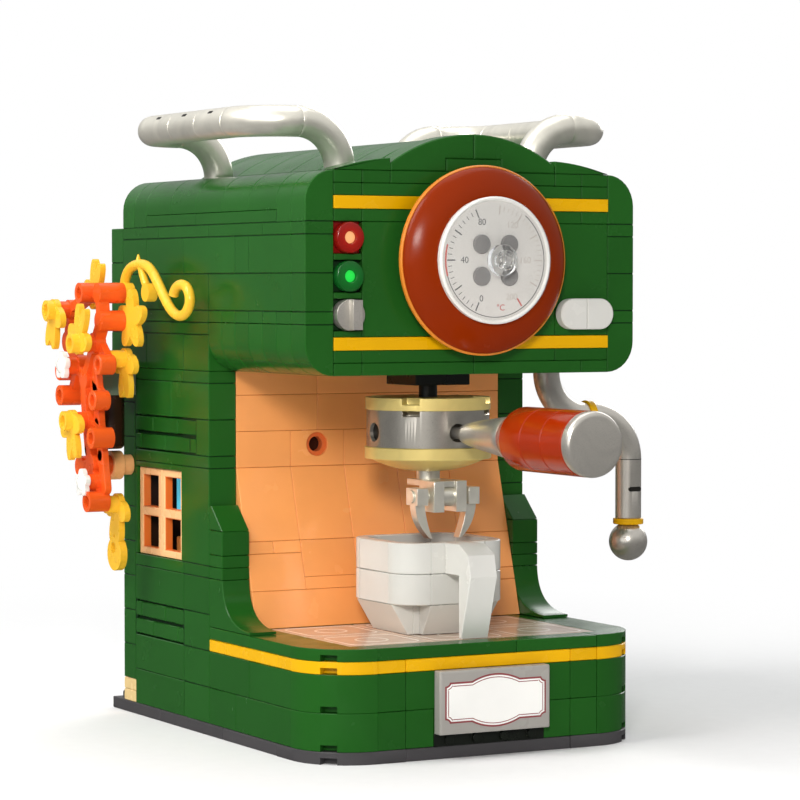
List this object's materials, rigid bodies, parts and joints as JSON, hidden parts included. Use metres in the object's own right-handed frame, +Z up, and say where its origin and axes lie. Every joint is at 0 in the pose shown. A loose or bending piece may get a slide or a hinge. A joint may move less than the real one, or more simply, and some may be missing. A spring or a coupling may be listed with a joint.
{
  "type": "building block coffee machine",
  "caption": "Display model of an espresso machine made of toy bricks, with a swivelling group and filter handle, steam wand, tilting spout claws, turning knobs, roof rails and a loose cup.",
  "frame": {"origin": "centre of the base plate's underside", "axes": "+Z up, -Y towards the front with the dial, +X to the viewer's right"},
  "size_m": [0.1373, 0.1796, 0.164],
  "materials": {
    "green": "gloss",
    "black": "gloss",
    "dark_grey": "gloss",
    "gold": "pearl gloss",
    "tray_beige": "gloss",
    "sign_grey": "gloss",
    "tan": "gloss",
    "peach": "gloss",
    "lining_orange": "gloss",
    "socket_brown": "gloss",
    "light_blue": "gloss",
    "lamp_red": "clear tinted",
    "lamp_green": "clear tinted",
    "silver": "metallic pearl",
    "white": "gloss",
    "red_brown": "gloss",
    "clear": "clear",
    "coffee_brown": "gloss",
    "vine_orange": "satin",
    "leaf_yellow": "satin",
    "grey_green": "gloss",
    "dark_brown": "gloss"
  },
  "bodies": {
    "housing": {"base_courses": "green", "tray_deck": "green", "left_wall": "green", "right_wall": "green", "back_wall": "green", "gusset_feet": "green", "gusset_heads": "green", "head_floor": "green", "head_sides": "green", "head_back": "green", "fascia": "green", "fascia_arch": "green", "roof_arch": "green", "roof_deck": "green", "roof_edges": "green", "sign_bracket": "black", "turntable_plate": "black", "base_plate": "dark_grey", "base_trim": "gold", "gold_strips": "gold", "drip_tray": "tray_beige", "sign_plate": "sign_grey", "corner_plates": "tan", "window_frames": "peach", "vine_anchor": "peach", "niche_lining": "lining_orange", "wall_socket": "socket_brown", "inner_bricks": "light_blue", "red_lens": "lamp_red", "green_lens": "lamp_green", "rail_elbows": "silver", "rail_tubes": "silver", "name_tiles": "white", "dial_face": "white", "vine_blossoms": "white", "dial_dish": "red_brown", "dial_glass": "clear", "vine_stems": "vine_orange", "vine_leaves": "leaf_yellow", "vine_bracket": "grey_green", "lantern": "dark_brown"},
    "group": {"group_axle": "black", "group_top_disc": "gold", "group_drum": "silver", "group_lower_dish": "gold", "spout_block": "silver", "handle_neck": "silver", "handle_barrel": "red_brown", "handle_cap": "silver"},
    "left_claw": {"claw_left": "silver"},
    "right_claw": {"claw_right": "silver"},
    "wand": {"wand_pipe": "silver", "wand_rings": "gold", "wand_tip": "silver"},
    "selector": {"selector_knob": "silver"},
    "dial_pointer_knob": {"dial_knob": "clear"},
    "cup": {"cup_foot": "white", "cup_rings": "white", "coffee": "coffee_brown", "cup_handle": "white"}
  },
  "joints": [
    {"name": "group_swivel", "type": "hinge", "parent": "housing", "child": "group", "pos_m": [0, -0.032, 0.0944], "axis": [0, 0, 1], "range_deg": [-90, 50]},
    {"name": "left_claw_tilt", "type": "hinge", "parent": "group", "child": "left_claw", "pos_m": [-0.0076, -0.04, 0.0642], "axis": [1, 0, 0], "range_deg": [-20, 20]},
    {"name": "right_claw_tilt", "type": "hinge", "parent": "group", "child": "right_claw", "pos_m": [0.0076, -0.04, 0.0642], "axis": [1, 0, 0], "range_deg": [-20, 20]},
    {"name": "wand_swivel", "type": "hinge", "parent": "housing", "child": "wand", "pos_m": [0.036, -0.032, 0.0976], "axis": [0, 0, 1], "range_deg": [-45, 30]},
    {"name": "selector_turn", "type": "hinge", "parent": "housing", "child": "selector", "pos_m": [-0.036, -0.057, 0.1112], "axis": [0, 1, 0], "continuous": true},
    {"name": "dial_knob_turn", "type": "hinge", "parent": "housing", "child": "dial_pointer_knob", "pos_m": [0, -0.071, 0.1248], "axis": [0, 1, 0], "continuous": true},
    {"name": "cup_lift_away", "type": "slide", "parent": "housing", "child": "cup", "axis": [0, -1, 0], "range_m": [0, 0.08]}
  ]
}
